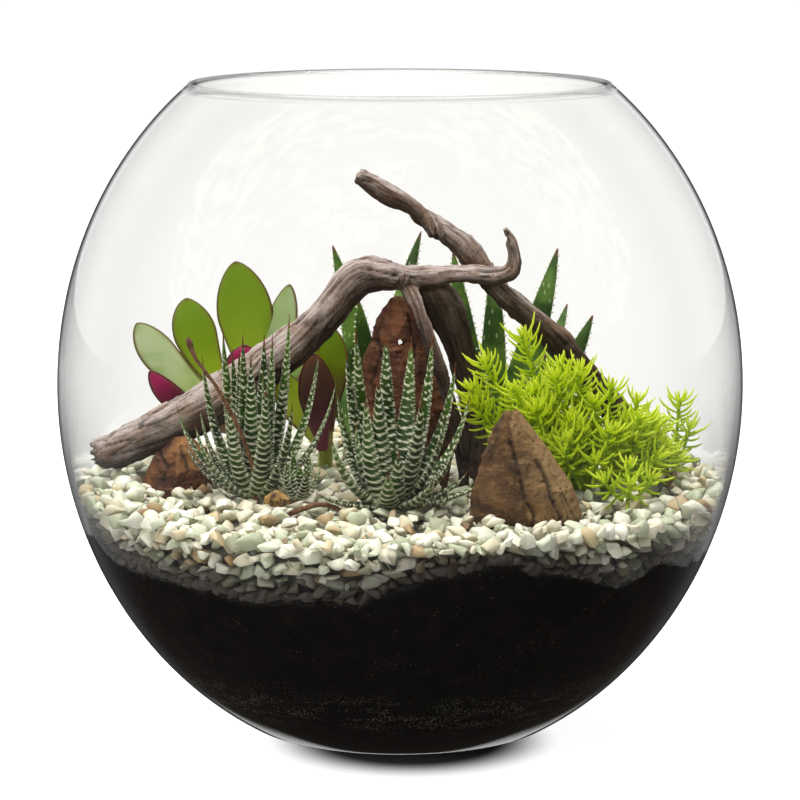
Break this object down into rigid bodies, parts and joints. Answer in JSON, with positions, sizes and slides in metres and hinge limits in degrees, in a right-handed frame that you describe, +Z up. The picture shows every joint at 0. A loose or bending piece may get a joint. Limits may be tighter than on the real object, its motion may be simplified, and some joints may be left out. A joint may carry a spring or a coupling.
{
  "type": "glass plant terrarium",
  "caption": "Open glass bubble bowl planted with succulents, driftwood and stones over pale pebbles and dark soil.",
  "frame": {"origin": "centre of the bowl's flat base, on the surface it stands on", "axes": "+Z up through the mouth, +X to the right with the front stone and the banded rosettes towards the viewer, who looks along +Y"},
  "size_m": [0.3, 0.3, 0.283],
  "materials": {
    "clear_glass": "clear blown glass, smooth",
    "dark_soil": "moist dark potting soil with fine pale specks",
    "pale_pebble": "tumbled white and pale green stones, some cream and tan",
    "grey_wood": "weathered grey-brown driftwood with long grain and cracks",
    "red_stone": "rough pitted red-brown stone",
    "brown_stone": "rough brown stone with cracks and a lighter foot",
    "orange_stone": "rough orange-brown stone",
    "paddle_green": "fleshy satin leaf, green with a red edge",
    "banded_green": "fleshy dark green leaf with raised white bands",
    "aloe_green": "fleshy dark green toothed leaf with pale dots",
    "lime_green": "fleshy bright lime needles",
    "dry_brown": "dry thin brown stalk"
  },
  "bodies": {
    "root": {"glass_bowl": "clear_glass", "soil": "dark_soil", "pebble_bed": "pale_pebble", "driftwood_arch": "grey_wood", "driftwood_branch": "grey_wood", "rock_tall": "red_stone", "rock_front": "brown_stone", "rock_left": "orange_stone", "paddle_plant_left": "paddle_green", "paddle_plant_right": "paddle_green", "haworthia_left": "banded_green", "haworthia_middle": "banded_green", "haworthia_right": "banded_green", "aloe_left": "aloe_green", "aloe_right": "aloe_green", "sedum_mound": "lime_green", "sedum_front": "lime_green", "sedum_right": "lime_green", "flower_stalk": "dry_brown", "twig": "dry_brown"}
  },
  "joints": []
}
